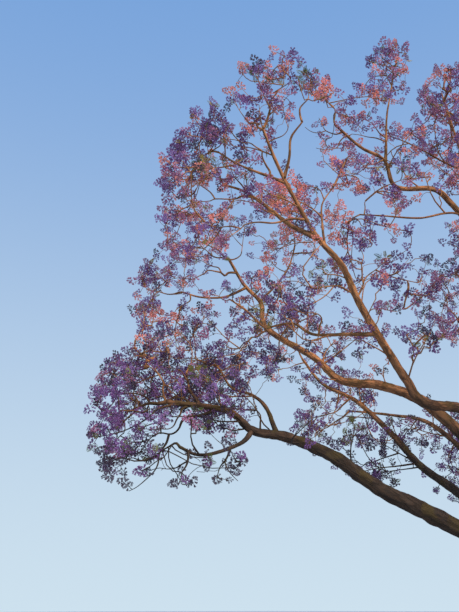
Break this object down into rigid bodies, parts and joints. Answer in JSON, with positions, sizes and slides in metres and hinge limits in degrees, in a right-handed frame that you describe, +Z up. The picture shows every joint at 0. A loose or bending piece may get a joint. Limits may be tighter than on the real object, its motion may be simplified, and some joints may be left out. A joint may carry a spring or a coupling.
{
  "type": "jacaranda tree",
  "caption": "Broad jacaranda tree in bloom: a short flared trunk forks into rising, crooked boughs that carry open masses of violet and lilac flower sprays.",
  "frame": {"origin": "centre of the flat cut under the trunk, at ground level", "axes": "+Z up; -X the way the long low bough reaches; +Y away from the picture's camera"},
  "size_m": [16.1024, 13.3546, 13.2302],
  "materials": {
    "bark": "rough grey-brown bark with shallow furrows, matt",
    "blossom_violet": "deep violet petals, matt",
    "blossom_lilac": "lilac petals, matt",
    "blossom_mauve": "mauve petals, matt",
    "blossom_salmon": "pink petals in low sun, matt",
    "leaf": "fine green leaves, slightly glossy"
  },
  "bodies": {
    "root": {"trunk": "bark", "bough_low": "bark", "bough_middle": "bark", "bough_main": "bark", "leader": "bark", "bough_east": "bark", "bough_north": "bark", "bough_south": "bark", "bough_high": "bark", "bough_back": "bark", "branch_droop": "bark", "branch_rise": "bark", "branch_tuck": "bark", "branch_side": "bark", "branch_prop": "bark", "branch_wing": "bark", "branch_shelf": "bark", "branch_spire": "bark", "branch_cross": "bark", "branch_inner": "bark", "branch_crown": "bark", "branch_peak": "bark", "branch_veil": "bark", "branch_over": "bark", "branch_east_rise": "bark", "branch_north_rise": "bark", "branch_south_rise": "bark", "branch_north_east": "bark", "branch_south_east": "bark", "branch_south_west": "bark", "foliage_low": "blossom_violet", "foliage_droop": "blossom_lilac", "foliage_tuck": "blossom_mauve", "foliage_rise": "blossom_salmon", "foliage_cross": "blossom_violet", "foliage_side": "blossom_lilac", "foliage_main": "blossom_mauve", "foliage_wing": "blossom_salmon", "foliage_shelf": "blossom_violet", "foliage_high": "blossom_lilac", "foliage_spire": "blossom_mauve", "foliage_crown": "blossom_salmon", "foliage_peak": "blossom_violet", "foliage_over": "blossom_lilac", "foliage_inner": "blossom_mauve", "foliage_prop": "blossom_salmon", "foliage_middle": "blossom_violet", "foliage_veil": "blossom_lilac", "foliage_back": "blossom_mauve", "foliage_leader": "blossom_salmon", "foliage_east": "blossom_violet", "foliage_east_rise": "blossom_lilac", "foliage_north": "blossom_mauve", "foliage_north_rise": "blossom_salmon", "foliage_south": "blossom_violet", "foliage_south_rise": "blossom_lilac", "foliage_north_east": "blossom_mauve", "foliage_south_east": "blossom_salmon", "foliage_south_west": "blossom_violet"}
  },
  "joints": []
}
